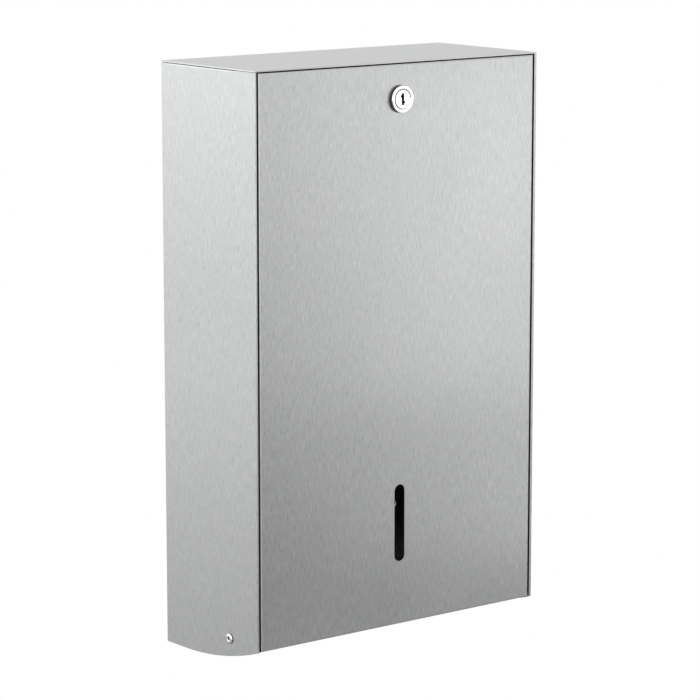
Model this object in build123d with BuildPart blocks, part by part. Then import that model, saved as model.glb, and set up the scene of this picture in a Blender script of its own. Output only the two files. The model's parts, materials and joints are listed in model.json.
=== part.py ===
from build123d import *
import os
from math import cos, radians, sin, sqrt

# Folded towel dispenser in brushed stainless sheet, hung on a wall, with a door that tips forward.
# Sizes are in millimetres. X runs across the width, Z is up and the wall is the plane Y = 0, so the
# door faces -Y. The origin is the middle of the four wall holes, on the back of the cabinet.

os.makedirs("parts", exist_ok=True)

# Cabinet
WIDTH = 275.0           # outside, over the two side plates
DEPTH = 120.0           # wall to door face
FRONT_HEIGHT = 439.0    # top of the cabinet to the door's bottom edge
BELLY_DROP = 16.0       # how far the sides curve down behind the door's bottom edge
BELLY_FLAT = 25.0       # level stretch of the curved edge, next to the wall
SHEET = 1.0             # thickness of the stainless sheet
BEND = 1.6              # outer radius of a fold
BACK_BEND = 2.0         # outer radius of the two folds at the back corners
HEM_LENGTH = 10.0       # how far each side's front edge is folded back inside
HEM_GAP = 0.3           # air left between the two layers of that hem
TOP_SEAM = 0.3          # dark line between the top panel and the side plates
FLANGE = 15.0           # width of the flanges that carry the top panel
FLANGE_RELIEF = 6.0     # from the end of a flange to the next fold
BEND_SLIT = 1.0         # cut beside each end of the back flange, so that it folds freely
EDGE_BEVEL = 0.35       # softening of the top panel's outer edge

# Wall fixing
WALL_HOLE_X = 180.0     # between the two columns of holes
WALL_HOLE_Z = 300.0     # between the two rows
WALL_HOLE_RADIUS = 3.25

# Door
DOOR_SIDE_GAP = 1.2     # between a hem and the door
DOOR_TOP_GAP = 0.6      # between the top panel and the door
DOOR_RETURN = 20.0      # depth of the door's folded sides
DOOR_TOP_RETURN = 15.0
DOOR_TOP_LIP = 12.0     # second fold of the top return, turned down
DOOR_BOTTOM_RETURN = 12.0
CORNER_NOTCH = 3.0      # relief at the corners of the folded tray
LEVEL_WIDTH = 10.0      # towel level slot
LEVEL_HEIGHT = 61.0
LEVEL_UP = 81.0         # middle of the slot above the door's bottom edge

# Door hinge: one blind rivet through each side plate, turning in a nylon bush in the door's ear
HINGE_BACK = 35.5       # pivot behind the door face
HINGE_UP = 4.0          # pivot above the door's bottom edge
OPEN_ANGLE = 80.0       # where the ears' stop tabs meet the hems
EAR_RADIUS = 10.0
STOP_TAB = 13.0         # length of the stop tab on an ear
STOP_GAP = 0.3          # left between tab and hem when the door is fully open
RIVET_RADIUS = 2.0
RIVET_HEAD_RADIUS = 4.0
RIVET_HEAD_HEIGHT = 1.3
RIVET_CROWN_RADIUS = 2.4  # flat ring round the bore, on top of the head
RIVET_TAIL_RADIUS = 3.3
RIVET_TAIL_LENGTH = 2.5
MANDREL_RADIUS = 1.15
MANDREL_SINK = 0.9      # the broken mandrel lies this deep in the rivet's head
BUSH_FLANGE_RADIUS = 7.0
BUSH_WALL = 1.5
BUSH_PROUD = 0.5        # how far the bush stands out of the ear, inside
HINGE_WASHER_RADIUS = 5.0
HINGE_WASHER = 0.8
RUNNING_FIT = 0.05      # radial clearance of a turning shaft
SIDE_PLAY = 0.2         # between turning flat faces
FIT = 0.05              # radial clearance of pieces that are fixed together

# Cam lock
LOCK_DOWN = 28.5        # lock axis below the top of the cabinet
LOCK_FACE_RADIUS = 11.0
LOCK_FACE = 3.0         # how far the polished face stands out of the door
LOCK_FACE_BEVEL = 0.6
BARREL_RADIUS = 9.5
BARREL_FLATS = 16.0
PLUG_RADIUS = 7.0
PLUG_GROOVE = 0.6       # bevel round the plug, in the lock's face
PLUG_SINK = 0.3
KEYWAY_WIDTH = 2.4
KEYWAY_HEIGHT = 9.0
KEYWAY_DEPTH = 16.0
KEYWAY_WARD = 0.9       # the two side notches of the keyway
WAFERS = 5
WAFER = 1.0
WAFER_PITCH = 2.2
WAFER_WIDTH = 6.0
WAFER_HEIGHT = 12.4
WAFER_START = 3.6       # first wafer behind the plug's face
WAFER_CLEAR = 0.1
NUT_ACROSS = 24.0
NUT_HEIGHT = 4.5
TOOTH_WASHER = 0.8
TOOTH_WASHER_RADIUS = 13.0
TEETH = 10
CAM_LENGTH = 24.0       # lock axis to the cam's tip
CAM_WIDTH = 14.0
CAM_SHEET = 2.0
CAM_TIP_ROUND = 3.0
CAM_SQUARE = 7.0        # square end of the plug, which drives the cam
CAM_CLEAR = 1.0         # between the strike and the cam behind it
CAM_STOP_GAP = 0.3      # between the cam and the stop on the barrel
SCREW_RADIUS = 2.0
SCREW_LENGTH = 7.0
SCREW_HEAD_RADIUS = 3.8
SCREW_HEAD = 2.4
SCREW_SOCKET = 3.0
CAM_WASHER_RADIUS = 5.0
CAM_WASHER = 0.8

# Strike rail under the top panel, with two rubber buffers for the door
RAIL_SHEET = 1.5
RAIL_BEHIND = 19.0      # front of the rail behind the door face
RAIL_LEG = 16.0
RAIL_END_GAP = 4.5      # between each end of the rail and a side flange
RAIL_OVER_LOCK = 12.5   # lower edge of the rail above the lock axis
BUFFER_IN = 28.0        # middle of each buffer, in from the end of the rail
BUFFER_RADIUS = 5.0
BUFFER_STEM_RADIUS = 2.0
BUFFER_BARB_RADIUS = 2.8  # of the cone that holds the stem behind the rail
BUFFER_GAP = 0.3

# Towel chute
GUIDE_INSET = 10.0      # outside of each guide, in from the side plate's outside
GUIDE_REACH = 66.0      # how far a guide stands out from the back plate
GUIDE_FOOT = 14.0       # width of its foot on the back plate
GUIDE_FLARE = 3.0       # how far its front edge leans out
GUIDE_FLARE_LENGTH = 8.0
GUIDE_END_GAP = 22.0    # from each end of the cabinet
OUTLET_RECESS = 3.0     # bottom plate above the sides' curved edge
OUTLET_WIDTH = 210.0
OUTLET_LENGTH = 53.0    # along the depth
OUTLET_BACK = 35.0      # rear edge of the outlet, from the wall
OUTLET_CORNER = 12.0
OUTLET_LIP = 6.0        # upturned lip round the outlet
OUTLET_FLANGE = 12.0
OUTLET_FRONT_GAP = 3.5  # between the door's bottom return and the plate
EAR_CLEAR = 2.0         # between the ears and the front of the plate
WING_BEHIND_HINGE = 14.5

# Places that follow from the sizes
FRONT = -DEPTH
TOP = (FRONT_HEIGHT + BELLY_DROP) / 2
BOTTOM = -TOP
DOOR_BOTTOM = BOTTOM + BELLY_DROP
SIDE_X = WIDTH / 2
INSIDE_X = SIDE_X - SHEET
UNDER_TOP = TOP - SHEET
HEM_RADIUS = SHEET + HEM_GAP / 2
HEM_BACK = FRONT + HEM_LENGTH
BELLY_RUN = DEPTH - BELLY_FLAT
BELLY_RADIUS = (BELLY_RUN**2 + BELLY_DROP**2) / (2 * BELLY_DROP)
DOOR_X = SIDE_X - 2 * HEM_RADIUS - DOOR_SIDE_GAP
DOOR_TOP = UNDER_TOP - DOOR_TOP_GAP
DOOR_MIDDLE = (DOOR_TOP + DOOR_BOTTOM) / 2
DOOR_BACK = FRONT + DOOR_RETURN
HINGE_Y = FRONT + HINGE_BACK
HINGE_Z = DOOR_BOTTOM + HINGE_UP
LOCK_Z = TOP - LOCK_DOWN
RAIL_FRONT = FRONT + RAIL_BEHIND
RAIL_BOTTOM = LOCK_Z + RAIL_OVER_LOCK
RAIL_X = SIDE_X - FLANGE - RAIL_END_GAP
BUFFER_X = RAIL_X - BUFFER_IN
CAM_FRONT = RAIL_FRONT + RAIL_SHEET + CAM_CLEAR
BARREL_END = CAM_FRONT - CAM_STOP_GAP


def belly_z(y, rise):
    """Height, at depth y, of the curve that runs rise above the sides' lower edge."""
    run = max(0.0, -y - BELLY_FLAT)
    return BOTTOM + BELLY_RADIUS - sqrt((BELLY_RADIUS - rise) ** 2 - run**2)


def belly_band(low, high, front, back):
    """Section between two heights above the sides' lower edge, from front to back."""
    with BuildSketch(Plane.YZ, mode=Mode.PRIVATE) as band:
        with BuildLine():
            for rise in (low, high):
                Line((back, BOTTOM + rise), (-BELLY_FLAT, BOTTOM + rise))
                TangentArc(
                    (-BELLY_FLAT, BOTTOM + rise), (front, belly_z(front, rise)), tangent=(-1, 0)
                )
            Line((back, BOTTOM + low), (back, BOTTOM + high))
            Line((front, belly_z(front, low)), (front, belly_z(front, high)))
        make_face()
    return band.sketch


def across_lock(y):
    """Plane square to the lock's axis at depth y, seen from the front."""
    return Plane(origin=(0, y, LOCK_Z), x_dir=(1, 0, 0), z_dir=(0, -1, 0))


def across_hinge(x):
    """Plane square to the hinge's axis at x, with Y and Z as its own directions."""
    return Plane(origin=(x, HINGE_Y, HINGE_Z), x_dir=(0, 1, 0), z_dir=(1, 0, 0))


LOCK_AXIS = Axis((0, 0, LOCK_Z), (0, 1, 0))
LOCK_SECTION = Plane(origin=(0, 0, LOCK_Z), x_dir=(1, 0, 0), z_dir=(0, 0, 1))
HINGE_AXIS = Axis((0, HINGE_Y, HINGE_Z), (1, 0, 0))
HINGE_SECTION = Plane(origin=(0, HINGE_Y, HINGE_Z), x_dir=(1, 0, 0), z_dir=(0, -1, 0))

# Cabinet shell: back and sides folded from one sheet, with hemmed front edges
FLANGE_BACK = -BACK_BEND - FLANGE_RELIEF
FLANGE_FRONT = DOOR_BACK + FLANGE_RELIEF / 2
FLANGE_START = UNDER_TOP - 2 * BEND
BACK_FLANGE_X = SIDE_X - FLANGE - FLANGE_RELIEF / 2

with BuildPart() as cabinet_shell:
    with BuildSketch(Plane.XY.offset(BOTTOM)):
        with BuildLine():
            side = FilletPolyline(
                (0, 0), (-SIDE_X, 0), (-SIDE_X, FRONT + HEM_RADIUS), radius=BACK_BEND
            )
            fold = TangentArc(side @ 1, side @ 1 + Vector(2 * HEM_RADIUS, 0), tangent=side % 1)
            Line(fold @ 1, fold @ 1 + Vector(0, HEM_LENGTH - HEM_RADIUS))
            offset(amount=SHEET, side=Side.LEFT)
        make_face()
        mirror(about=Plane.YZ)
    extrude(amount=UNDER_TOP - TOP_SEAM - BOTTOM)
    # the curved lower edge of the sides
    with BuildSketch(Plane.YZ):
        with BuildLine():
            past_front = FRONT - SHEET
            curve = TangentArc(
                (-BELLY_FLAT, BOTTOM), (past_front, belly_z(past_front, 0)), tangent=(-1, 0)
            )
            Polyline(
                curve @ 1,
                (past_front, BOTTOM - SHEET),
                (-BELLY_FLAT, BOTTOM - SHEET),
                curve @ 0,
            )
        make_face()
    extrude(amount=SIDE_X, both=True, mode=Mode.SUBTRACT)
    # the tops of the sides and of the back are cut down where their flanges are folded in
    with BuildSketch(Plane.XY.offset(FLANGE_START)):
        with Locations((0, (FLANGE_FRONT + FLANGE_BACK) / 2)):
            Rectangle(WIDTH, FLANGE_BACK - FLANGE_FRONT)
        Rectangle(2 * (BACK_FLANGE_X + BEND_SLIT), 2 * SHEET)
    extrude(amount=UNDER_TOP - FLANGE_START, mode=Mode.SUBTRACT)
    with BuildSketch(Plane.XZ.offset(-FLANGE_BACK)):
        with BuildLine():
            FilletPolyline(
                (-SIDE_X, FLANGE_START),
                (-SIDE_X, UNDER_TOP),
                (-SIDE_X + FLANGE, UNDER_TOP),
                radius=BEND,
            )
            offset(amount=SHEET, side=Side.RIGHT)
        make_face()
        mirror(about=Plane.YZ)
    extrude(amount=FLANGE_BACK - FLANGE_FRONT)
    with BuildSketch(Plane.YZ.offset(-BACK_FLANGE_X)):
        with BuildLine():
            FilletPolyline(
                (0, FLANGE_START - BEND), (0, UNDER_TOP), (-FLANGE, UNDER_TOP), radius=BEND
            )
            offset(amount=SHEET, side=Side.LEFT)
        make_face()
    extrude(amount=2 * BACK_FLANGE_X)
    with BuildSketch(Plane.XZ):
        with GridLocations(WALL_HOLE_X, WALL_HOLE_Z, 2, 2):
            Circle(WALL_HOLE_RADIUS)
    extrude(amount=2 * SHEET, mode=Mode.SUBTRACT)
    with BuildSketch(across_hinge(0)):
        Circle(RIVET_RADIUS + FIT)
    extrude(amount=SIDE_X, both=True, mode=Mode.SUBTRACT)

# Top panel: one flat sheet on the flanges, flush with the sides and the door
with BuildPart() as top_panel:
    with BuildSketch(Plane.XY.offset(UNDER_TOP)) as top_outline:
        with Locations((0, FRONT / 2)):
            Rectangle(WIDTH, DEPTH)
        fillet(top_outline.vertices().group_by(Axis.Y)[-1], radius=BACK_BEND)
        fillet(top_outline.vertices().group_by(Axis.Y)[0], radius=SHEET)
    extrude(amount=SHEET)
    chamfer(top_panel.faces().sort_by(Axis.Z)[-1].edges(), length=EDGE_BEVEL)

# Strike rail: the angle that the cam catches behind
with BuildPart() as strike_rail:
    with BuildSketch(Plane.YZ):
        with BuildLine():
            FilletPolyline(
                (RAIL_FRONT + RAIL_LEG, UNDER_TOP),
                (RAIL_FRONT, UNDER_TOP),
                (RAIL_FRONT, RAIL_BOTTOM),
                radius=RAIL_SHEET + BEND - SHEET,
            )
            offset(amount=RAIL_SHEET, side=Side.LEFT)
        make_face()
    extrude(amount=RAIL_X, both=True)
    fillet(strike_rail.edges().filter_by(Axis.Y).group_by(Axis.Z)[0], radius=RAIL_LEG / 4)
    with BuildSketch(Plane.XZ.offset(-RAIL_FRONT)):
        with Locations((-BUFFER_X, 0), (BUFFER_X, 0)):
            with Locations((0, DOOR_TOP - DOOR_TOP_LIP / 2)):
                Circle(BUFFER_STEM_RADIUS + FIT)
    extrude(amount=-2 * RAIL_SHEET, mode=Mode.SUBTRACT)

# Outlet lip: the upturned rim of the towel outlet, trimmed to the curve of the bottom plate
OUTLET_MIDDLE = -OUTLET_BACK - OUTLET_LENGTH / 2
OUTLET_FRONT = FRONT + DOOR_BOTTOM_RETURN + OUTLET_FRONT_GAP
PLATE_X = DOOR_X - SHEET - EAR_CLEAR
WING_FRONT = HINGE_Y + WING_BEHIND_HINGE

with BuildPart() as outlet_lip:
    with BuildSketch(Plane.XY.offset(BOTTOM)):
        with Locations((0, OUTLET_MIDDLE)):
            RectangleRounded(
                OUTLET_WIDTH + 2 * SHEET, OUTLET_LENGTH + 2 * SHEET, OUTLET_CORNER + SHEET
            )
            RectangleRounded(OUTLET_WIDTH, OUTLET_LENGTH, OUTLET_CORNER, mode=Mode.SUBTRACT)
    extrude(amount=BELLY_DROP + OUTLET_FLANGE)
    lip_band = belly_band(OUTLET_RECESS, OUTLET_RECESS + OUTLET_LIP, FRONT, 0)
    extrude(lip_band, amount=SIDE_X, both=True, mode=Mode.INTERSECT)

# Bottom plate: curved like the sides, with the towel outlet and flanges on all four edges
with BuildPart() as outlet_plate:
    plate_low = OUTLET_RECESS
    plate_high = OUTLET_RECESS + SHEET
    flange_high = OUTLET_RECESS + OUTLET_FLANGE
    extrude(belly_band(plate_low, plate_high, OUTLET_FRONT, -SHEET), amount=PLATE_X, both=True)
    wing_back = -SHEET - BACK_BEND
    extrude(belly_band(plate_low, plate_high, WING_FRONT, wing_back), amount=INSIDE_X, both=True)
    with BuildSketch(Plane.XY.offset(belly_z(OUTLET_FRONT, plate_low))):
        with Locations((0, OUTLET_FRONT + SHEET / 2)):
            Rectangle(2 * PLATE_X, SHEET)
    extrude(amount=OUTLET_LIP)
    with BuildSketch(Plane.YZ):
        with Locations((-1.5 * SHEET, BOTTOM + plate_low + OUTLET_FLANGE / 2)):
            Rectangle(SHEET, OUTLET_FLANGE)
    extrude(amount=INSIDE_X - OUTLET_FLANGE, both=True)
    side_band = belly_band(plate_low, flange_high, WING_FRONT, wing_back)
    for hand in (-1, 1):
        flange_middle = Location((hand * (INSIDE_X - SHEET / 2), 0, 0))
        extrude(side_band.moved(flange_middle), amount=SHEET / 2, both=True)
    add(outlet_lip.part)
    with BuildSketch(Plane.XY.offset(BOTTOM)):
        with Locations((0, OUTLET_MIDDLE)):
            RectangleRounded(OUTLET_WIDTH, OUTLET_LENGTH, OUTLET_CORNER)
    extrude(amount=BELLY_DROP + OUTLET_FLANGE, mode=Mode.SUBTRACT)

# Towel guides: flared strips that keep the stack in the middle
GUIDE_X = SIDE_X - GUIDE_INSET

with BuildPart() as towel_guide_left:
    with BuildSketch(Plane.XY.offset(BOTTOM + GUIDE_END_GAP)):
        with BuildLine():
            FilletPolyline(
                (-GUIDE_X + GUIDE_FOOT, -SHEET),
                (-GUIDE_X, -SHEET),
                (-GUIDE_X, -SHEET - GUIDE_REACH),
                (-GUIDE_X - GUIDE_FLARE, -SHEET - GUIDE_REACH - GUIDE_FLARE_LENGTH),
                radius=BEND,
            )
            offset(amount=SHEET, side=Side.LEFT)
        make_face()
    extrude(amount=2 * (TOP - GUIDE_END_GAP))

# Rubber door buffer: a button with a stem through the rail and a head behind it
with BuildPart() as door_buffer_left:
    with BuildSketch(Plane.XY.offset(DOOR_TOP - DOOR_TOP_LIP / 2)):
        with BuildLine():
            button_front = FRONT + DOOR_TOP_RETURN + BUFFER_GAP
            stem_end = RAIL_FRONT + RAIL_SHEET
            Polyline(
                (-BUFFER_X, button_front),
                (-BUFFER_X + BUFFER_RADIUS, button_front),
                (-BUFFER_X + BUFFER_RADIUS, RAIL_FRONT),
                (-BUFFER_X + BUFFER_STEM_RADIUS, RAIL_FRONT),
                (-BUFFER_X + BUFFER_STEM_RADIUS, stem_end),
                (-BUFFER_X + BUFFER_BARB_RADIUS, stem_end),
                (-BUFFER_X, stem_end + BUFFER_BARB_RADIUS),
                close=True,
            )
        make_face()
    revolve(axis=Axis((-BUFFER_X, 0, DOOR_TOP - DOOR_TOP_LIP / 2), (0, 1, 0)))

# Hinge, left side: places along X from the side plate inwards
BUSH_OUT = INSIDE_X - SIDE_PLAY
BUSH_IN = DOOR_X - SHEET - BUSH_PROUD
WASHER_OUT = BUSH_IN - SIDE_PLAY
TAIL_OUT = WASHER_OUT - HINGE_WASHER
BUSH_RADIUS = RIVET_RADIUS + RUNNING_FIT + BUSH_WALL

with BuildPart() as hinge_rivet_left:
    with BuildSketch(HINGE_SECTION):
        with BuildLine():
            bore = MANDREL_RADIUS + FIT
            Polyline(
                (-SIDE_X, RIVET_RADIUS),
                (-SIDE_X, RIVET_HEAD_RADIUS),
                (-SIDE_X - RIVET_HEAD_HEIGHT, RIVET_CROWN_RADIUS),
                (-SIDE_X - RIVET_HEAD_HEIGHT, bore),
                (-TAIL_OUT + RIVET_TAIL_LENGTH, bore),
                (-TAIL_OUT, RIVET_TAIL_RADIUS),
                (-TAIL_OUT, RIVET_RADIUS),
                close=True,
            )
        make_face()
    revolve(axis=HINGE_AXIS)

with BuildPart() as rivet_mandrel_left:
    with BuildSketch(HINGE_SECTION):
        with BuildLine():
            stub = -SIDE_X - RIVET_HEAD_HEIGHT + MANDREL_SINK
            tail_end = -TAIL_OUT + RIVET_TAIL_LENGTH
            Polyline(
                (stub, 0),
                (stub, MANDREL_RADIUS),
                (tail_end, MANDREL_RADIUS),
                (tail_end + MANDREL_RADIUS, 0),
                close=True,
            )
        make_face()
    revolve(axis=HINGE_AXIS)

with BuildPart() as hinge_washer_left:
    with BuildSketch(across_hinge(-WASHER_OUT)):
        Circle(HINGE_WASHER_RADIUS)
        Circle(RIVET_RADIUS + FIT, mode=Mode.SUBTRACT)
    extrude(amount=HINGE_WASHER)

with BuildPart() as hinge_bush_left:
    with BuildSketch(across_hinge(-BUSH_OUT)):
        Circle(BUSH_FLANGE_RADIUS)
    extrude(amount=BUSH_OUT - DOOR_X)
    with BuildSketch(across_hinge(-DOOR_X)):
        Circle(BUSH_RADIUS)
    extrude(amount=SHEET + BUSH_PROUD)
    with BuildSketch(across_hinge(-BUSH_OUT)):
        Circle(RIVET_RADIUS + RUNNING_FIT)
    extrude(amount=BUSH_OUT - BUSH_IN, mode=Mode.SUBTRACT)

# Door: a folded tray with its side returns widened into hinge ears
STOP_REACH = HINGE_Y - HEM_BACK - STOP_GAP
STOP_TILT = radians(90.0 - OPEN_ANGLE)


def on_stop(along, inward):
    """Point of an ear's stop edge, from the hinge axis; the edge stands upright when fully open."""
    reach = STOP_REACH - inward
    return (
        along * cos(STOP_TILT) - reach * sin(STOP_TILT),
        along * sin(STOP_TILT) + reach * cos(STOP_TILT),
    )


with BuildPart() as door_panel:
    with BuildSketch(Plane.XZ.offset(-DOOR_BACK)):
        with Locations((0, DOOR_MIDDLE)):
            Rectangle(2 * DOOR_X, DOOR_TOP - DOOR_BOTTOM)
    extrude(amount=DOOR_RETURN)
    fillet(door_panel.faces().sort_by(Axis.Y)[0].edges(), radius=BEND)
    offset(amount=-SHEET, openings=door_panel.faces().sort_by(Axis.Y)[-1])
    # the top and bottom returns are shallower than the sides
    with BuildSketch(Plane.XZ.offset(-DOOR_BACK)):
        with Locations((0, DOOR_TOP)):
            Rectangle(2 * (DOOR_X - SHEET), 4 * SHEET)
    extrude(amount=DOOR_RETURN - DOOR_TOP_RETURN, mode=Mode.SUBTRACT)
    with BuildSketch(Plane.XZ.offset(-DOOR_BACK)):
        with Locations((0, DOOR_BOTTOM)):
            Rectangle(2 * (DOOR_X - SHEET), 4 * SHEET)
    extrude(amount=DOOR_RETURN - DOOR_BOTTOM_RETURN, mode=Mode.SUBTRACT)
    with BuildSketch(Plane.XZ.offset(-DOOR_BACK)):
        with Locations((0, DOOR_MIDDLE)):
            with GridLocations(2 * DOOR_X, DOOR_TOP - DOOR_BOTTOM, 2, 2):
                Rectangle(2 * CORNER_NOTCH, 2 * CORNER_NOTCH)
    extrude(amount=DOOR_RETURN - BEND - SHEET, mode=Mode.SUBTRACT)
    # the top return's second fold, which lands on the buffers
    with BuildSketch(Plane.XZ.offset(-FRONT - DOOR_TOP_RETURN)):
        with Locations((0, DOOR_TOP - DOOR_TOP_LIP / 2)):
            Rectangle(2 * (DOOR_X - CORNER_NOTCH), DOOR_TOP_LIP)
    extrude(amount=SHEET)
    top_fold = door_panel.edges().filter_by(Axis.X).group_by(Axis.Z)[-1].sort_by(Axis.Y)[-1]
    fillet(top_fold, radius=BEND)
    # hinge ears with their out-turned stop tabs
    for hand in (-1, 1):
        with BuildSketch(across_hinge(hand * (DOOR_X - SHEET / 2))):
            with BuildLine():
                CenterArc((0, 0), EAR_RADIUS, 0, 360)
                return_edge = DOOR_BACK - SHEET - HINGE_Y
                stop_end = on_stop(STOP_TAB + SHEET, 0)
                stop_front = on_stop(return_edge + STOP_REACH * sin(STOP_TILT), 0)
                Polyline((return_edge, -HINGE_UP), stop_front, stop_end)
            make_hull()
        extrude(amount=SHEET / 2, both=True)
        with BuildSketch(across_hinge(hand * DOOR_X)):
            Polygon(
                on_stop(SHEET, 0),
                on_stop(SHEET + STOP_TAB, 0),
                on_stop(SHEET + STOP_TAB, SHEET),
                on_stop(SHEET, SHEET),
                align=None,
            )
        extrude(amount=hand * (INSIDE_X - STOP_GAP - DOOR_X))
    with BuildSketch(across_hinge(0)):
        Circle(BUSH_RADIUS + FIT)
    extrude(amount=SIDE_X, both=True, mode=Mode.SUBTRACT)
    # towel level slot, and the flatted hole of the lock
    with BuildSketch(Plane.XZ.offset(-FRONT - 2 * SHEET)):
        with Locations((0, DOOR_BOTTOM + LEVEL_UP)):
            SlotOverall(LEVEL_HEIGHT, LEVEL_WIDTH, rotation=90)
    extrude(amount=3 * SHEET, mode=Mode.SUBTRACT)
    with BuildSketch(across_lock(FRONT + 2 * SHEET)):
        Circle(BARREL_RADIUS + FIT)
        Rectangle(4 * BARREL_RADIUS, BARREL_FLATS + 2 * FIT, mode=Mode.INTERSECT)
    extrude(amount=3 * SHEET, mode=Mode.SUBTRACT)

# Lock body: polished face, flatted barrel and the stop for the cam at its inner end
FACE_Y = FRONT - LOCK_FACE
with BuildPart() as lock_body:
    with BuildSketch(LOCK_SECTION):
        with BuildLine():
            Polyline(
                (PLUG_RADIUS, FACE_Y + PLUG_GROOVE),
                (PLUG_RADIUS + PLUG_GROOVE, FACE_Y),
                (LOCK_FACE_RADIUS - LOCK_FACE_BEVEL, FACE_Y),
                (LOCK_FACE_RADIUS, FACE_Y + LOCK_FACE_BEVEL),
                (LOCK_FACE_RADIUS, FRONT),
                (BARREL_RADIUS, FRONT),
                (BARREL_RADIUS, BARREL_END),
                (PLUG_RADIUS, BARREL_END),
                close=True,
            )
        make_face()
    revolve(axis=LOCK_AXIS)
    with BuildSketch(across_lock(BARREL_END)):
        Rectangle(4 * BARREL_RADIUS, 4 * BARREL_RADIUS)
        Rectangle(4 * BARREL_RADIUS, BARREL_FLATS, mode=Mode.SUBTRACT)
    extrude(amount=BARREL_END - FRONT, mode=Mode.SUBTRACT)
    stop_x = CAM_WIDTH / 2 + CAM_STOP_GAP
    with BuildSketch(across_lock(CAM_FRONT + CAM_SHEET)):
        Circle(BARREL_RADIUS)
        with Locations((2 * BARREL_RADIUS - stop_x, 0)):
            Rectangle(4 * BARREL_RADIUS, 4 * BARREL_RADIUS, mode=Mode.SUBTRACT)
    extrude(amount=CAM_SHEET + CAM_STOP_GAP)

# Lock nut and toothed washer, behind the door's sheet
WASHER_FRONT = FRONT + SHEET
with BuildPart() as lock_tooth_washer:
    with BuildSketch(across_lock(WASHER_FRONT + TOOTH_WASHER)):
        Circle(TOOTH_WASHER_RADIUS)
        Circle(BARREL_RADIUS + FIT, mode=Mode.SUBTRACT)
        with PolarLocations(TOOTH_WASHER_RADIUS, TEETH):
            Rectangle(TOOTH_WASHER_RADIUS / 5, TOOTH_WASHER_RADIUS / 8, mode=Mode.SUBTRACT)
    extrude(amount=TOOTH_WASHER)

NUT_FRONT = WASHER_FRONT + TOOTH_WASHER
with BuildPart() as lock_nut:
    with BuildSketch(across_lock(NUT_FRONT + NUT_HEIGHT)):
        RegularPolygon(NUT_ACROSS / 2, 6, major_radius=False)
        Circle(BARREL_RADIUS + FIT, mode=Mode.SUBTRACT)
    extrude(amount=NUT_HEIGHT)

# Lock plug: keyway in front, slots for the wafers, square end for the cam
PLUG_FACE = FACE_Y + PLUG_SINK
PLUG_TIP = CAM_FRONT + CAM_SHEET - WAFER_CLEAR
wafer_backs = [PLUG_FACE + WAFER_START + WAFER_PITCH * count + WAFER for count in range(WAFERS)]

with BuildPart() as lock_plug:
    with BuildSketch(across_lock(CAM_FRONT)):
        Circle(PLUG_RADIUS - RUNNING_FIT)
    extrude(amount=CAM_FRONT - PLUG_FACE)
    with BuildSketch(across_lock(PLUG_TIP)):
        Rectangle(CAM_SQUARE, CAM_SQUARE)
    extrude(amount=PLUG_TIP - CAM_FRONT)
    with BuildSketch(across_lock(PLUG_TIP)):
        Circle(SCREW_RADIUS + FIT)
    extrude(amount=SCREW_LENGTH + SHEET, mode=Mode.SUBTRACT)
    with BuildSketch(across_lock(PLUG_FACE + KEYWAY_DEPTH)):
        Rectangle(KEYWAY_WIDTH, KEYWAY_HEIGHT)
        with Locations((-KEYWAY_WIDTH / 2, KEYWAY_HEIGHT / 4), (KEYWAY_WIDTH / 2, -KEYWAY_HEIGHT / 4)):
            Rectangle(2 * KEYWAY_WARD, KEYWAY_HEIGHT / 5)
    extrude(amount=KEYWAY_DEPTH, mode=Mode.SUBTRACT)
    for wafer_back in wafer_backs:
        with BuildSketch(across_lock(wafer_back + WAFER_CLEAR)):
            Rectangle(WAFER_WIDTH + 2 * WAFER_CLEAR, WAFER_HEIGHT + 2 * WAFER_CLEAR)
        extrude(amount=WAFER + 2 * WAFER_CLEAR, mode=Mode.SUBTRACT)

with BuildPart() as lock_wafers:
    for wafer_back in wafer_backs:
        with BuildSketch(across_lock(wafer_back)):
            Rectangle(WAFER_WIDTH, WAFER_HEIGHT)
            Rectangle(KEYWAY_WIDTH + WAFER_CLEAR, KEYWAY_HEIGHT * 0.7, mode=Mode.SUBTRACT)
        extrude(amount=WAFER)

# Lock cam, at rest hanging down and clear of the strike; half a turn puts it up behind the rail
with BuildPart() as lock_cam:
    with BuildSketch(across_lock(CAM_FRONT + CAM_SHEET)) as cam_outline:
        with Locations((0, -CAM_LENGTH / 2)):
            Rectangle(CAM_WIDTH, CAM_LENGTH)
        fillet(cam_outline.vertices().group_by(Axis.Y)[0], radius=CAM_TIP_ROUND)
        Circle(CAM_WIDTH / 2)
        Rectangle(CAM_SQUARE + 2 * FIT, CAM_SQUARE + 2 * FIT, mode=Mode.SUBTRACT)
    extrude(amount=CAM_SHEET)

CAM_BACK = CAM_FRONT + CAM_SHEET
with BuildPart() as cam_washer:
    with BuildSketch(across_lock(CAM_BACK + CAM_WASHER)):
        Circle(CAM_WASHER_RADIUS)
        Circle(SCREW_RADIUS + FIT, mode=Mode.SUBTRACT)
    extrude(amount=CAM_WASHER)

with BuildPart() as cam_screw:
    screw_seat = CAM_BACK + CAM_WASHER
    with BuildSketch(across_lock(screw_seat + SCREW_HEAD)):
        Circle(SCREW_HEAD_RADIUS)
    extrude(amount=SCREW_HEAD)
    with BuildSketch(across_lock(screw_seat)):
        Circle(SCREW_RADIUS)
    extrude(amount=SCREW_LENGTH)
    with BuildSketch(across_lock(screw_seat + SCREW_HEAD)):
        RegularPolygon(SCREW_SOCKET / 2, 6, major_radius=False)
    extrude(amount=SCREW_HEAD / 2, mode=Mode.SUBTRACT)

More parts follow.
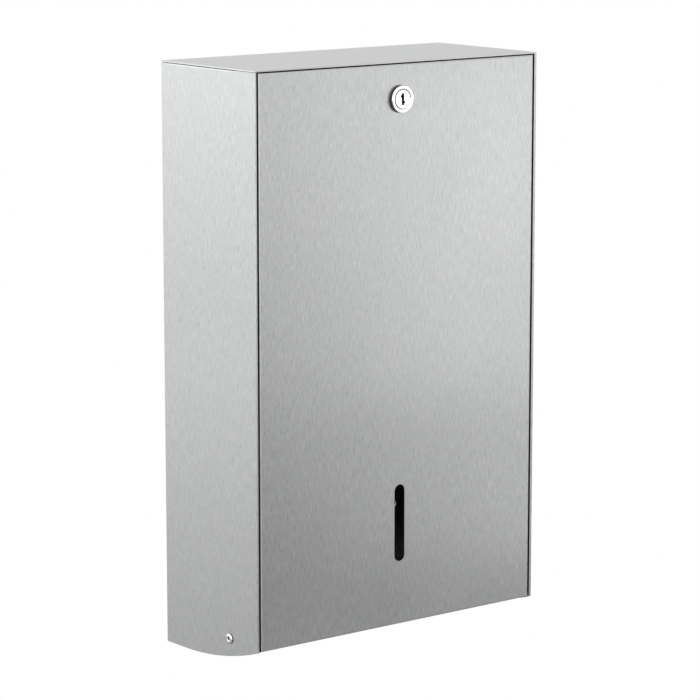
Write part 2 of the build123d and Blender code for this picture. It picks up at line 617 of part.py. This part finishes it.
cabinet_shell.part.label = "cabinet_shell"
export_step(cabinet_shell.part, "parts/cabinet_shell.step")
top_panel.part.label = "top_panel"
export_step(top_panel.part, "parts/top_panel.step")
strike_rail.part.label = "strike_rail"
export_step(strike_rail.part, "parts/strike_rail.step")
outlet_plate.part.label = "outlet_plate"
export_step(outlet_plate.part, "parts/outlet_plate.step")
door_panel.part.label = "door_panel"
export_step(door_panel.part, "parts/door_panel.step")
lock_body.part.label = "lock_body"
export_step(lock_body.part, "parts/lock_body.step")
lock_tooth_washer.part.label = "lock_tooth_washer"
export_step(lock_tooth_washer.part, "parts/lock_tooth_washer.step")
lock_nut.part.label = "lock_nut"
export_step(lock_nut.part, "parts/lock_nut.step")
lock_plug.part.label = "lock_plug"
export_step(lock_plug.part, "parts/lock_plug.step")
lock_wafers.part.label = "lock_wafers"
export_step(lock_wafers.part, "parts/lock_wafers.step")
lock_cam.part.label = "lock_cam"
export_step(lock_cam.part, "parts/lock_cam.step")
cam_washer.part.label = "cam_washer"
export_step(cam_washer.part, "parts/cam_washer.step")
cam_screw.part.label = "cam_screw"
export_step(cam_screw.part, "parts/cam_screw.step")

# Pieces that come in pairs: the right one is the left one's mirror image
PAIRS = {
    "towel_guide": towel_guide_left,
    "door_buffer": door_buffer_left,
    "hinge_rivet": hinge_rivet_left,
    "rivet_mandrel": rivet_mandrel_left,
    "hinge_washer": hinge_washer_left,
    "hinge_bush": hinge_bush_left,
}
for name, left in PAIRS.items():
    left.part.label = f"{name}_left"
    export_step(left.part, f"parts/{name}_left.step")
    with BuildPart() as right:
        mirror(left.part, about=Plane.YZ)
    right.part.label = f"{name}_right"
    export_step(right.part, f"parts/{name}_right.step")
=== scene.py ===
import json
from math import cos, pi, radians, sin

import bmesh
import bpy
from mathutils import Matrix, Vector


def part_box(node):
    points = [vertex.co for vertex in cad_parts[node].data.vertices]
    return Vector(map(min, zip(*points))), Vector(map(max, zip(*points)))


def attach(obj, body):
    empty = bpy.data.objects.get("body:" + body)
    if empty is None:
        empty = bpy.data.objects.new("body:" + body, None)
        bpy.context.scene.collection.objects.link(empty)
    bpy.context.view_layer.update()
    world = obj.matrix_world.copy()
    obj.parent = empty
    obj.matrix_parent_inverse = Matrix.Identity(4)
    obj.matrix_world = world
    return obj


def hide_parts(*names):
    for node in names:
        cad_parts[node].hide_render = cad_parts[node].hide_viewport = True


# Looks of the folded towel dispenser. Everything is in metres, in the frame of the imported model:
# X runs across the width, Z is up, the wall is the plane Y = 0 and the door faces -Y.

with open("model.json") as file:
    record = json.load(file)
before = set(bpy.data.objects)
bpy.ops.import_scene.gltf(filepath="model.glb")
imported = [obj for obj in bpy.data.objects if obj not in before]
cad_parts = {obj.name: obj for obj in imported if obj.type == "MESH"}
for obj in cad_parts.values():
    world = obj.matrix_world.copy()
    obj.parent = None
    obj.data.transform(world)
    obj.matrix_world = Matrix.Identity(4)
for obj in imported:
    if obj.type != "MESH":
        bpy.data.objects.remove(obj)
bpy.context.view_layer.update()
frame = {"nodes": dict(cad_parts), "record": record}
MM = 0.001


# Places taken from the frame
def low(node):
    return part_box(node)[0]


def high(node):
    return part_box(node)[1]


def middle(node):
    return (low(node) + high(node)) / 2


SHEET = 1.0 * MM
SIDE_X = high("cabinet_shell").x
TOP_Z = high("top_panel").z
DOOR_FACE = low("door_panel").y
DOOR_MIDDLE = Vector((0, DOOR_FACE, middle("door_panel").z))
HINGE = middle("hinge_washer_left")
LOCK_FRONT = Vector((0, low("lock_body").y, middle("cam_washer").z))


# Node trees
def put(tree, kind, links=None, **settings):
    """Adds a node; links gives each input socket a value or another node's output."""
    made = tree.nodes.new(kind)
    for name, value in settings.items():
        setattr(made, name, value)
    for socket, value in (links or {}).items():
        if isinstance(value, bpy.types.NodeSocket):
            tree.links.new(value, made.inputs[socket])
        else:
            made.inputs[socket].default_value = value
    return made


def linear(code):
    """Linear colour of an sRGB hex value."""
    parts = [int(code[place : place + 2], 16) / 255 for place in (1, 3, 5)]
    return [p / 12.92 if p <= 0.04045 else ((p + 0.055) / 1.055) ** 2.4 for p in parts] + [1.0]


def emptied(holder):
    """The cleared node tree of a material or of the room."""
    holder.use_nodes = True
    holder.node_tree.nodes.clear()
    return holder.node_tree


def finish(name, dress):
    """A material whose shader takes the values that dress works out in its tree."""
    material = bpy.data.materials.new(name)
    tree = emptied(material)
    shader = put(tree, "ShaderNodeBsdfPrincipled", dress(tree))
    put(tree, "ShaderNodeOutputMaterial", {"Surface": shader.outputs[0]})
    return material


# Noise stays mostly between these two values
NOISE_LOW = 0.3
NOISE_HIGH = 0.7


def spread(tree, size, seed, detail=3.0):
    """Noise whose spots measure size, in metres along X, Y and Z, on the piece itself."""
    where = put(tree, "ShaderNodeTexCoord").outputs["Object"]
    scaled = put(tree, "ShaderNodeMapping", {0: where, "Scale": [1 / length for length in size]})
    values = {
        "Vector": scaled.outputs[0],
        "W": seed,
        "Scale": 1.0,
        "Detail": detail,
        "Roughness": 0.55,
    }
    return put(tree, "ShaderNodeTexNoise", values, noise_dimensions="4D").outputs["Fac"]


def indoors(tree):
    """1 on the faces that look into the cabinet, 0 on its outside, from the place on the piece."""
    where = put(tree, "ShaderNodeTexCoord").outputs["Object"]
    parts = put(tree, "ShaderNodeSeparateXYZ", {0: where}).outputs
    sideways = put(tree, "ShaderNodeMath", {0: parts["X"]}, operation="ABSOLUTE").outputs[0]
    inside = 1.0
    for place, limit, test in (
        (sideways, SIDE_X - SHEET / 2, "LESS_THAN"),
        (parts["Y"], DOOR_FACE + SHEET / 2, "GREATER_THAN"),
        (parts["Y"], -SHEET / 20, "LESS_THAN"),
        (parts["Z"], TOP_Z - SHEET / 2, "LESS_THAN"),
    ):
        passed = put(tree, "ShaderNodeMath", {0: place, 1: limit}, operation=test).outputs[0]
        both = {0: passed, 1: inside}
        inside = put(tree, "ShaderNodeMath", both, operation="MULTIPLY").outputs[0]
    return inside


# Brushed sheet: unevenness left by the belt, and what changes from streak to streak
CLOUD = (90 * MM, 90 * MM, 160 * MM)
CLOUD_ROUGHNESS = 0.02
STREAK_ROUGHNESS = 0.025
FINE_SHARE = 0.45
STREAKS_LOW = 0.62
STREAKS_HIGH = 1.38
SCRATCH_DEPTH = 0.02 * MM


def brushed_stainless(name, grain, dark, light, roughness, axis):
    """Stainless sheet, type 304, brushed with a belt: grain is the size of a streak along X, Y and Z.
    Fine parallel scratches spread reflections across the grain and keep them short along it.
    Only the outside is brushed: inside, the sheet keeps the mill's duller grey, darkened as painted
    shade."""

    def dress(tree):
        streak = spread(tree, grain, 1.0, 4.0)
        fine = spread(tree, [length * FINE_SHARE for length in grain], 5.0, 2.0)
        cloud = spread(tree, CLOUD, 9.0, 2.0)
        added = {0: streak, 1: fine}
        both = put(tree, "ShaderNodeMath", added, operation="ADD").outputs[0]
        ends = {"Value": both, "From Min": STREAKS_LOW, "From Max": STREAKS_HIGH}
        grained = put(tree, "ShaderNodeMapRange", ends).outputs[0]
        tones = {"Factor": grained, "A": linear(dark), "B": linear(light)}
        outside = put(tree, "ShaderNodeMix", tones, data_type="RGBA").outputs["Result"]
        # Inside the cabinet: the mill grey, darkened as painted shade
        skins = {"Factor": indoors(tree), "A": outside, "B": linear(MILL_GREY_SHADED)}
        colour = put(tree, "ShaderNodeMix", skins, data_type="RGBA").outputs["Result"]
        uneven = put(
            tree,
            "ShaderNodeMapRange",
            {
                "Value": cloud,
                "From Min": NOISE_LOW,
                "From Max": NOISE_HIGH,
                "To Min": roughness - CLOUD_ROUGHNESS,
                "To Max": roughness + CLOUD_ROUGHNESS,
            },
        ).outputs[0]
        scratched = put(
            tree,
            "ShaderNodeMapRange",
            {
                "Value": fine,
                "From Min": NOISE_LOW,
                "From Max": NOISE_HIGH,
                "To Min": -STREAK_ROUGHNESS,
                "To Max": STREAK_ROUGHNESS,
            },
        ).outputs[0]
        added = {0: uneven, 1: scratched}
        scratches = {"Height": both, "Strength": 0.05, "Distance": SCRATCH_DEPTH}
        grain_way = put(tree, "ShaderNodeTangent", direction_type="RADIAL", axis=axis)
        return {
            "Base Color": colour,
            "Metallic": 1.0,
            "Roughness": put(tree, "ShaderNodeMath", added, operation="ADD").outputs[0],
            "Anisotropic": 0.75,
            "Tangent": grain_way.outputs[0],
            "Normal": put(tree, "ShaderNodeBump", scratches).outputs[0],
        }

    return finish(name, dress)


def speckled(name, dark, light, seed, speck, gloss, bump, metallic):
    """A skin whose tone, gloss and height follow the same small specks, of one size each way.
    gloss is the least and most roughness, bump its strength and its height."""

    def dress(tree):
        spots = spread(tree, (speck, speck, speck), seed)
        ends = {"Value": spots, "From Min": NOISE_LOW, "From Max": NOISE_HIGH}
        tone = put(tree, "ShaderNodeMapRange", ends).outputs[0]
        tones = {"Factor": tone, "A": linear(dark), "B": linear(light)}
        shine = {**ends, "To Min": gloss[0], "To Max": gloss[1]}
        grains = {"Height": spots, "Strength": bump[0], "Distance": bump[1]}
        return {
            "Base Color": put(tree, "ShaderNodeMix", tones, data_type="RGBA").outputs["Result"],
            "Metallic": metallic,
            "Roughness": put(tree, "ShaderNodeMapRange", shine).outputs[0],
            "Normal": put(tree, "ShaderNodeBump", grains).outputs[0],
        }

    return finish(name, dress)


def plated(name, dark, light, roughness, speck, bump_height):
    """Plated, turned or stamped metal: a sheen that varies a little from speck to speck."""
    gloss = (roughness * 0.8, roughness * 1.25)
    return speckled(name, dark, light, 2.0, speck, gloss, (0.2, bump_height), 1.0)


def moulded(name, dark, light, roughness, speck, bump_height):
    """Moulded plastic or rubber: an even colour with the fine grain of the mould."""
    gloss = (roughness * 0.9, roughness * 1.1)
    return speckled(name, dark, light, 3.0, speck, gloss, (0.4, bump_height), 0.0)


# A real belt grain is under 0.1 mm wide. It is drawn 0.8 to 0.9 mm wide, so that it shows at this size.
UPRIGHT = (0.8 * MM, 0.8 * MM, 9 * MM)
ACROSS = (0.9 * MM, 14 * MM, 0.9 * MM)

# Rolled sheet as it comes from the mill: an even, dull grey that the belt hasn't brightened, darkened
# further as painted shade inside the cabinet
MILL_GREY_SHADED = "#777979"
mill_sheet_shaded = plated("mill_finish_painted_shade", "#727475", "#808283", 0.38, 1.5 * MM, 0.01 * MM)

# Type 304 sheet, brushed upright on the cabinet and the door, and from front to back on top and below
brushed_body = brushed_stainless("brushed_stainless_upright", UPRIGHT, "#b4b5b5", "#e0e1e1", 0.30, "Z")
brushed_top = brushed_stainless("brushed_stainless_top", ACROSS, "#cacbcb", "#dadbdb", 0.30, "X")

# Nickel plate on polished zinc: almost white, with sharp reflections
bright_lock = plated("bright_nickel_plate", "#f2f2f1", "#fbfbfa", 0.10, 0.6 * MM, 0.002 * MM)

# Drawn stainless of the rivets and washers: bright, with a little of the die's roughness
rivet_steel = plated("turned_stainless", "#dcdcda", "#f3f3f1", 0.16, 0.4 * MM, 0.004 * MM)

# Zinc plate on pressed steel: a bluish grey, half dull
zinc_plate = plated("zinc_plated_steel", "#a9adb0", "#c9ccce", 0.30, 0.8 * MM, 0.01 * MM)

# Stamped brass wafers, their tone darkened as painted shade deep in the keyway
wafer_brass_shaded = plated("brass_painted_shade", "#33291a", "#4c3d24", 0.50, 0.5 * MM, 0.005 * MM)

# Dull black painted shade on the lock's skirt and plug ring and the rivets' rims and bores, darker than
# the moulded black rubber of the buffers
shade_black = moulded("painted_shade_black", "#060606", "#0c0c0c", 0.6, 0.4 * MM, 0.01 * MM)
rubber = moulded("black_moulded_rubber", "#141414", "#1f1f1f", 0.65, 0.4 * MM, 0.02 * MM)

# Moulded nylon: a warm white with a soft sheen
nylon = moulded("white_nylon", "#e3e1da", "#efeee9", 0.45, 0.5 * MM, 0.01 * MM)

FINISHES = {
    "cabinet_shell": brushed_body,
    "door_panel": brushed_body,
    "top_panel": brushed_top,
    "outlet_plate": brushed_top,
    "strike_rail": mill_sheet_shaded,
    "towel_guide_left": mill_sheet_shaded,
    "towel_guide_right": mill_sheet_shaded,
    "hinge_rivet_left": rivet_steel,
    "hinge_rivet_right": rivet_steel,
    "rivet_mandrel_left": zinc_plate,
    "rivet_mandrel_right": zinc_plate,
    "hinge_washer_left": rivet_steel,
    "hinge_washer_right": rivet_steel,
    "door_buffer_left": rubber,
    "door_buffer_right": rubber,
    "hinge_bush_left": nylon,
    "hinge_bush_right": nylon,
    "lock_body": bright_lock,
    "lock_nut": zinc_plate,
    "lock_tooth_washer": zinc_plate,
    "lock_plug": bright_lock,
    "lock_wafers": wafer_brass_shaded,
    "lock_cam": zinc_plate,
    "cam_washer": zinc_plate,
    "cam_screw": zinc_plate,
}
for node, material in FINISHES.items():
    frame["nodes"][node].data.materials.clear()
    frame["nodes"][node].data.materials.append(material)


# Turned pieces
def turned(name, node, centre, axis, rings, skins, rounding, dark=None):
    """A piece of revolution that stands for a node. Each ring is its place along the axis from the
    centre and its radius, in millimetres; dark tells which faces take the second skin."""
    mesh = bmesh.new()
    upwards = Vector((0, 0, 1))
    points = [
        mesh.verts.new(centre + axis * (along * MM) + upwards * (out * MM)) for along, out in rings
    ]
    loop = zip(points, points[1:] + points[:1])
    section = points + [mesh.edges.new(pair) for pair in loop]
    bmesh.ops.spin(
        mesh, geom=section, cent=centre, axis=axis, angle=2 * pi, steps=72, use_merge=True
    )
    bmesh.ops.remove_doubles(mesh, verts=mesh.verts, dist=1e-7)
    bmesh.ops.dissolve_degenerate(mesh, edges=mesh.edges, dist=1e-7)
    bmesh.ops.recalc_face_normals(mesh, faces=mesh.faces)
    sharp = [
        edge for edge in mesh.edges if edge.is_manifold and edge.calc_face_angle() > radians(20)
    ]
    bmesh.ops.bevel(
        mesh,
        geom=sharp,
        offset=rounding * MM,
        affect="EDGES",
        segments=3,
        profile=0.5,
        material=-1,
        clamp_overlap=True,
    )
    for face in mesh.faces:
        face.smooth = True
        way = face.calc_center_median() - centre
        along = way.dot(axis) / MM
        out = (way - axis * way.dot(axis)).length / MM
        face.material_index = 1 if dark and dark(along, out) else 0
    return piece(name, mesh, skins, node)


def piece(name, mesh, skins, node):
    """Makes the object of a finished mesh, in the place of the node that it stands for."""
    data = bpy.data.meshes.new(name)
    mesh.to_mesh(data)
    mesh.free()
    for skin in skins:
        data.materials.append(skin)
    made = bpy.data.objects.new(name, data)
    bpy.context.scene.collection.objects.link(made)
    made.modifiers.new("even_shading", "WEIGHTED_NORMAL")
    for body, members in frame["record"]["behaviour"]["bodies"].items():
        if node in members:
            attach(made, body)
    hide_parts(node)
    return made


# Blind rivet, in millimetres: domed head with a hollow shank, and a tail set over a washer inside
HEAD_RADIUS = 4.0
HEAD_HEIGHT = 1.3
HEAD_RIM = 0.55
CROWN_RADIUS = 2.1
CROWN_DISH = 0.8
BORE_RADIUS = 1.2
SHANK_RADIUS = 2.0
TAIL_RADIUS = 3.3
TAIL_TAPER = 0.3
TAIL_LENGTH = 2.5


def rivet(side):
    node = f"hinge_rivet_{side}"
    outwards = Vector((-1, 0, 0)) if side == "left" else Vector((1, 0, 0))
    centre = Vector((outwards.x * SIDE_X, HINGE.y, HINGE.z))
    length = (high(node).x - low(node).x) / MM - HEAD_HEIGHT
    dome = [
        (
            HEAD_RIM + (HEAD_HEIGHT - HEAD_RIM) * sin(radians(turn)),
            CROWN_RADIUS + (HEAD_RADIUS - CROWN_RADIUS) * cos(radians(turn)),
        )
        for turn in range(0, 91, 15)
    ]
    rings = [
        (0, SHANK_RADIUS),
        (0, HEAD_RADIUS),
        *dome,
        (CROWN_DISH * HEAD_HEIGHT, BORE_RADIUS),
        (-length, BORE_RADIUS),
        (-length + TAIL_LENGTH / 2, TAIL_RADIUS - TAIL_TAPER),
        (-length + TAIL_LENGTH, TAIL_RADIUS),
        (-length + TAIL_LENGTH, SHANK_RADIUS),
    ]

    def in_shadow(along, out):
        """Painted shade: the bore and the straight rim of the head are painted black."""
        return out < BORE_RADIUS + 0.15 or 0 <= along < HEAD_RIM + 0.05

    skins = [rivet_steel, shade_black]
    name = f"domed_rivet_{side}"
    turned(name, node, centre, outwards, rings, skins, 0.12, in_shadow)


# Lock body, in millimetres: bright face on a skirt painted black as shade, and a threaded barrel with
# two flats
FACE_RADIUS = 10.5
FACE_STEP = 3.0
FACE_PLATE = 0.7
FACE_ROUNDING = 0.5
PLUG_RADIUS = 7.0
PLUG_DEPTH = 0.3
# Width of the thin ring round the plug, whose outer wall is painted black as shade
SHADE_RING = 0.12
GROOVE = 0.7
GROOVE_EDGE = 8.2
BARREL_RADIUS = 9.5
BARREL_HALF_FLATS = 8.0
THREAD_PITCH = 1.0
THREAD_DEPTH = 0.5
LUG = Vector((1.9, 2.3, 9.0))
LUG_X = -8.3
INWARDS = Vector((0, 1, 0))


def lock_face():
    """The ring round the plug, with a thin ring at the bottom of its groove whose outer wall is painted
    black as shade.
    """
    shade_ring_edge = PLUG_RADIUS + SHADE_RING
    rings = [
        (PLUG_DEPTH, PLUG_RADIUS),
        (PLUG_DEPTH, shade_ring_edge),
        (GROOVE, shade_ring_edge),
        (GROOVE, shade_ring_edge + SHADE_RING),
        (0, GROOVE_EDGE),
        (0, FACE_RADIUS - FACE_ROUNDING),
        (0.3 * FACE_ROUNDING, FACE_RADIUS - 0.3 * FACE_ROUNDING),
        (FACE_PLATE, FACE_RADIUS),
        (FACE_STEP, FACE_RADIUS),
        (FACE_STEP, PLUG_RADIUS),
    ]

    def black(along, out):
        """Painted shade: the skirt behind the bright plate, and the outer wall of the thin ring round
        the plug.
        """
        skirt = along > FACE_PLATE - 0.2 and out > BARREL_RADIUS
        return skirt or (along > PLUG_DEPTH + 0.1 and out < shade_ring_edge + 0.05)

    skins = [bright_lock, shade_black]
    turned("lock_face", "lock_body", LOCK_FRONT, INWARDS, rings, skins, 0.03, black)


def lock_barrel():
    """The threaded barrel, cut to its two flats, with the lug that stops the cam."""
    end = (high("lock_body").y - LOCK_FRONT.y) / MM - LUG.y
    first = FACE_STEP + THREAD_PITCH
    thread = [
        (first + THREAD_PITCH * (count + half / 2), BARREL_RADIUS - THREAD_DEPTH * half)
        for count in range(int((end - first) / THREAD_PITCH))
        for half in (0, 1)
    ]
    rings = [
        (FACE_STEP, PLUG_RADIUS),
        (FACE_STEP, BARREL_RADIUS),
        *thread,
        (end, BARREL_RADIUS - THREAD_DEPTH),
        (end, PLUG_RADIUS),
    ]
    made = turned("lock_barrel", "lock_body", LOCK_FRONT, INWARDS, rings, [zinc_plate], 0.05)
    mesh = bmesh.new()
    mesh.from_mesh(made.data)
    for way in (-1, 1):
        cut = bmesh.ops.bisect_plane(
            mesh,
            geom=[*mesh.verts, *mesh.edges, *mesh.faces],
            plane_co=LOCK_FRONT + Vector((0, 0, way * BARREL_HALF_FLATS * MM)),
            plane_no=(0, 0, way),
            clear_outer=True,
        )
        edges = [part for part in cut["geom_cut"] if isinstance(part, bmesh.types.BMEdge)]
        bmesh.ops.holes_fill(mesh, edges=edges)
    lug = bmesh.ops.create_cube(mesh, size=1)["verts"]
    bmesh.ops.scale(mesh, verts=lug, vec=LUG * MM)
    lug_place = LOCK_FRONT + Vector((LUG_X, end + LUG.y / 2, 0)) * MM
    bmesh.ops.translate(mesh, verts=lug, vec=lug_place)
    bmesh.ops.recalc_face_normals(mesh, faces=mesh.faces)
    mesh.to_mesh(made.data)
    mesh.free()


rivet("left")
rivet("right")
lock_face()
lock_barrel()

# Soft panels that face the middle of the door: place, width, height and watts of each
PANELS = {
    "right_panel": ((0.62, -0.62, -0.08), 0.40, 0.55, 0.263),
    "near_panel": ((0.50, -0.66, 0.02), 0.25, 0.40, 0.166),
    "low_panel": ((0.66, -0.60, -0.40), 0.40, 0.40, 0.116),
    "back_panel": ((-0.60, 0.50, -0.30), 0.40, 0.40, 0.062),
}


def light_panels():
    for name, (place, width, height, watts) in PANELS.items():
        data = bpy.data.lights.new(name, "AREA")
        data.shape = "RECTANGLE"
        data.size = width
        data.size_y = height
        data.energy = watts
        made = bpy.data.objects.new(name, data)
        made.location = place
        made.rotation_euler = (Vector(place) - DOOR_MIDDLE).to_track_quat("Z", "Y").to_euler()
        made.visible_camera = False
        bpy.context.scene.collection.objects.link(made)


# An even white room, darker near the ground. Its strength at each height goes from right to left.
GROUND_Z = -0.32
SKY_Z = -0.02
SIDEWAYS = 0.6
GROUND_STRENGTH = (0.0, 0.26)
SKY_STRENGTH = (0.81, 1.67)

# A small dark spot painted into the background that the camera sees, hidden by the dispenser, stands in
# for the shade in the one wall hole that shows through the level slot. Its angle is in degrees.
CAMERA_PLACE = Vector((-1.4674, -1.9233, 0.4261))
WALL_HOLE = Vector((90 * MM, 0, -150 * MM))
SHADE_SPOT_ANGLE = 0.6


def room():
    world = bpy.data.worlds.new("studio")
    tree = emptied(world)
    way = put(tree, "ShaderNodeTexCoord").outputs["Generated"]
    parts = put(tree, "ShaderNodeSeparateXYZ", {0: way}).outputs
    heights = {"Value": parts["Z"], "From Min": GROUND_Z, "From Max": SKY_Z}
    levels = {"Factor": put(tree, "ShaderNodeMapRange", heights).outputs[0]}
    for socket, (right, left) in (("A", GROUND_STRENGTH), ("B", SKY_STRENGTH)):
        sides = {
            "Value": parts["X"],
            "From Min": SIDEWAYS,
            "From Max": -SIDEWAYS,
            "To Min": right,
            "To Max": left,
        }
        levels[socket] = put(tree, "ShaderNodeMapRange", sides).outputs[0]
    strength = put(tree, "ShaderNodeMix", levels, data_type="FLOAT").outputs["Result"]
    # Painted shade: camera rays toward the wall hole see a dark background
    through_hole = {0: way, 1: (WALL_HOLE - CAMERA_PLACE).normalized()}
    aligned = put(tree, "ShaderNodeVectorMath", through_hole, operation="DOT_PRODUCT")
    beside = {0: aligned.outputs["Value"], 1: cos(radians(SHADE_SPOT_ANGLE))}
    outside_shade_spot = put(tree, "ShaderNodeMath", beside, operation="LESS_THAN").outputs[0]
    white = linear("#ffffff")
    light = put(tree, "ShaderNodeBackground", {"Color": white, "Strength": strength})
    seen = put(tree, "ShaderNodeBackground", {"Color": white, "Strength": outside_shade_spot})
    camera_ray = put(tree, "ShaderNodeLightPath").outputs["Is Camera Ray"]
    both = {0: camera_ray, 1: light.outputs[0], 2: seen.outputs[0]}
    mixed = put(tree, "ShaderNodeMixShader", both).outputs[0]
    put(tree, "ShaderNodeOutputWorld", {"Surface": mixed})
    bpy.context.scene.world = world


# A pale floor far below the dispenser, which hangs on a wall
FLOOR_BELOW = 1.4
FLOOR_RADIUS = 4.0


def floor():
    mesh = bmesh.new()
    bmesh.ops.create_circle(mesh, cap_ends=True, segments=64, radius=FLOOR_RADIUS)
    bmesh.ops.translate(mesh, verts=mesh.verts, vec=(0, 0, -FLOOR_BELOW))
    data = bpy.data.meshes.new("studio_floor")
    mesh.to_mesh(data)
    mesh.free()
    material = bpy.data.materials.new("pale_floor")
    tree = emptied(material)
    matte = put(tree, "ShaderNodeBsdfDiffuse", {"Color": linear("#9a9a9a")})
    seen = put(tree, "ShaderNodeEmission", {"Color": linear("#ffffff"), "Strength": 1.0})
    camera_ray = put(tree, "ShaderNodeLightPath").outputs["Is Camera Ray"]
    both = {0: camera_ray, 1: matte.outputs[0], 2: seen.outputs[0]}
    mixed = put(tree, "ShaderNodeMixShader", both).outputs[0]
    put(tree, "ShaderNodeOutputMaterial", {"Surface": mixed})
    data.materials.append(material)
    made = bpy.data.objects.new("studio_floor", data)
    bpy.context.scene.collection.objects.link(made)


def camera():
    """Stands in front, to the left and a little above, with a long lens."""
    data = bpy.data.cameras.new("camera")
    data.lens = 158.1
    data.sensor_width = 36.0
    data.clip_end = 100.0
    made = bpy.data.objects.new("camera", data)
    made.location = CAMERA_PLACE
    made.rotation_euler = (radians(90 - 10.249), 0, radians(-38.19))
    bpy.context.scene.collection.objects.link(made)
    bpy.context.scene.camera = made


room()
light_panels()
floor()
camera()
bpy.context.scene.view_settings.view_transform = "Standard"
